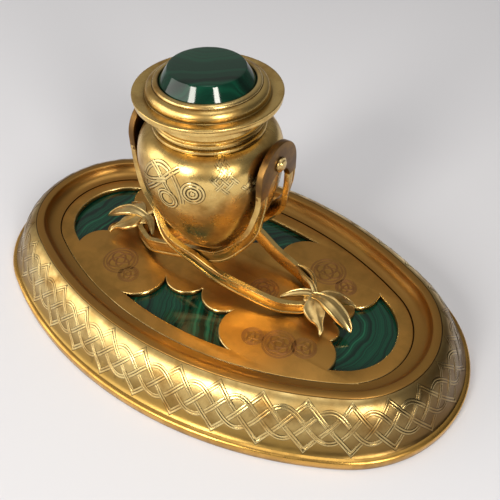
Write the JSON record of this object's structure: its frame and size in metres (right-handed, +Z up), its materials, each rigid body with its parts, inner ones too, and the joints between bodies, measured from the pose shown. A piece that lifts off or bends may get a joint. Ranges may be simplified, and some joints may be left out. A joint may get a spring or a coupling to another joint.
{
  "type": "desk inkstand",
  "caption": "Oval gilt bronze desk inkstand with malachite inlays and a round ink pot hung between crossing straps, under a hinged, stone-topped lid.",
  "frame": {"origin": "centre of the tray at the felt's underside", "axes": "+X along the tray, +Y to the back where the lid's hinge is, +Z up"},
  "size_m": [0.24, 0.149, 0.1213],
  "materials": {
    "gilt_bronze": "polished",
    "brass_bed": "as cast",
    "malachite": "polished",
    "polished_malachite": "polished",
    "steel": "satin",
    "wood": "matt",
    "felt": "matt",
    "glass": "polished"
  },
  "bodies": {
    "base": {"foot_band": "gilt_bronze", "plinth_border": "gilt_bronze", "tray_rim": "gilt_bronze", "fret_plate": "gilt_bronze", "malachite_left": "malachite", "malachite_right": "malachite", "malachite_front": "malachite", "malachite_back": "malachite", "bed_plate": "brass_bed", "bed_screws": "steel", "base_board": "wood", "board_screws": "steel", "base_felt": "felt", "strap_left": "gilt_bronze", "strap_right": "gilt_bronze", "leaf_left": "gilt_bronze", "leaf_right": "gilt_bronze", "leaf_screws": "steel", "stud_left": "gilt_bronze", "stud_right": "gilt_bronze", "pot_body": "gilt_bronze", "neck_ring": "gilt_bronze", "ink_liner": "glass", "hinge_pin": "steel"},
    "lid": {"lid_plate": "gilt_bronze", "lid_bezel": "gilt_bronze", "cabochon": "polished_malachite"}
  },
  "joints": [
    {"name": "lid_hinge", "type": "hinge", "parent": "base", "child": "lid", "pos_m": [-0.0036, 0.0258, 0.1086], "axis": [-1, 0, 0], "range_deg": [0, 100]}
  ]
}
